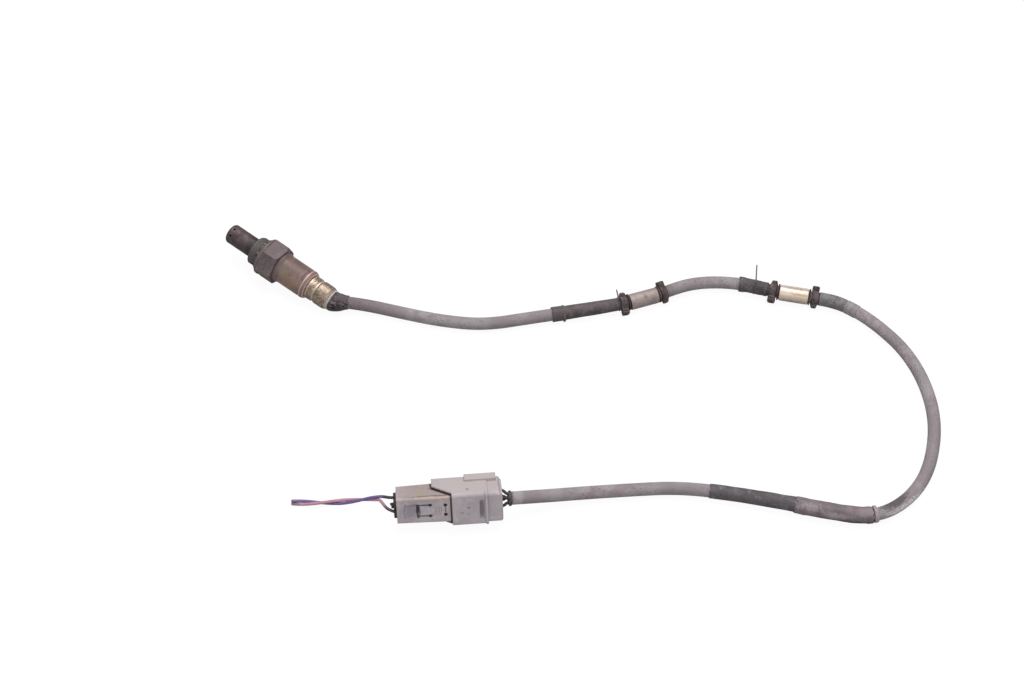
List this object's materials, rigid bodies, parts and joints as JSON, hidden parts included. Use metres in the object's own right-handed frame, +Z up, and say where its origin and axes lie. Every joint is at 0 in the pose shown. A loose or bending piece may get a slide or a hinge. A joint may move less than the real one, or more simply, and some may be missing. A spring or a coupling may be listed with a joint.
{
  "type": "oxygen sensor",
  "caption": "Exhaust oxygen sensor: threaded probe with perforated tip and hexagon, sleeved lead with ties, ferrules and shrink tubes, mated plug and cut twisted pigtail.",
  "frame": {"origin": "bottom centre of the probe's box, on the surface it lies on", "axes": "+Z up; +X from the probe's tip towards its lead, along the ground; +Y to the left of that"},
  "size_m": [0.4246, 0.2999, 0.0257],
  "materials": {
    "tip_steel": "sooted heat-dark steel",
    "inner_steel": "heat-dark steel",
    "housing_steel": "heat-tinted dark steel, paste on the thread",
    "gasket_steel": "dull stained steel",
    "case_steel": "heat-tinted stainless steel",
    "rear_steel": "straw-tinted stainless steel",
    "spring_steel": "bright spring steel",
    "element_ceramic": "fired ceramic",
    "body_ceramic": "fired ceramic",
    "talc": "pressed powder",
    "filter_white": "porous film",
    "bush_rubber": "matt rubber",
    "wire_black": "satin insulation",
    "wire_blue": "satin insulation",
    "wire_red": "satin insulation, faded",
    "sleeve_grey": "varnished glass braid, dusty",
    "boot_dark": "frayed braid, scorched",
    "patch_grey": "braid, soiled",
    "tape_grey": "woven tape",
    "shrink_dark": "matt shrink tube, dusty",
    "shrink_long": "matt shrink tube, worn",
    "repair_mottled": "torn shrink tube, mottled",
    "ring_brown": "aged rubber",
    "grommet_rubber": "matt rubber",
    "ferrule_dull": "dull, scuffed",
    "ferrule_bright": "bright, scuffed",
    "tie_brown": "aged nylon",
    "lock_wire": "dull wire",
    "hood_grey": "moulded nylon, soiled",
    "socket_grey": "moulded nylon, stained",
    "holder_grey": "moulded nylon",
    "seal_rubber": "silicone rubber",
    "spacer_plastic": "moulded nylon",
    "pin_brass": "tinned brass"
  },
  "bodies": {
    "root": {"outer_tip_cover": "tip_steel", "inner_tip_cover": "inner_steel", "sensing_element": "element_ceramic", "hex_housing": "housing_steel", "seat_gasket": "gasket_steel", "element_holder": "body_ceramic", "talc_seal": "talc", "packing_sleeve": "body_ceramic", "crimp_ring": "inner_steel", "contact_insulator": "body_ceramic", "contact_springs": "spring_steel", "retaining_clip": "spring_steel", "case": "case_steel", "vent_filter": "filter_white", "rear_cover": "rear_steel", "rubber_bush": "bush_rubber", "lead_wires": "wire_black", "frayed_boot": "boot_dark", "cable_sleeve": "sleeve_grey", "heat_shrink_1": "shrink_dark", "sleeve_ring": "ring_brown", "grommet_1": "grommet_rubber", "ferrule_1": "ferrule_dull", "grommet_2": "grommet_rubber", "ferrule_2": "ferrule_bright", "tie_1": "tie_brown", "tie_2": "tie_brown", "tie_3": "tie_brown", "tie_4": "tie_brown", "lock_wire_1": "lock_wire", "lock_wire_2": "lock_wire", "heat_shrink_2": "shrink_dark", "sleeve_patch": "patch_grey", "tape_wrap": "tape_grey", "kink_ring": "ring_brown", "repair_sleeve": "repair_mottled", "long_heat_shrink": "shrink_long", "sleeve_end_ring": "shrink_dark", "plug_wires": "wire_black", "plug_hood": "hood_grey", "hood_rear_holder": "holder_grey", "hood_wire_seals": "seal_rubber", "plug_pins": "pin_brass", "socket_housing": "socket_grey", "nose_seal": "seal_rubber", "socket_spacer": "spacer_plastic", "socket_terminals": "pin_brass", "socket_wire_seals": "seal_rubber", "pigtail_blue": "wire_blue", "pigtail_red": "wire_red", "cut_stubs": "wire_black"}
  },
  "joints": []
}
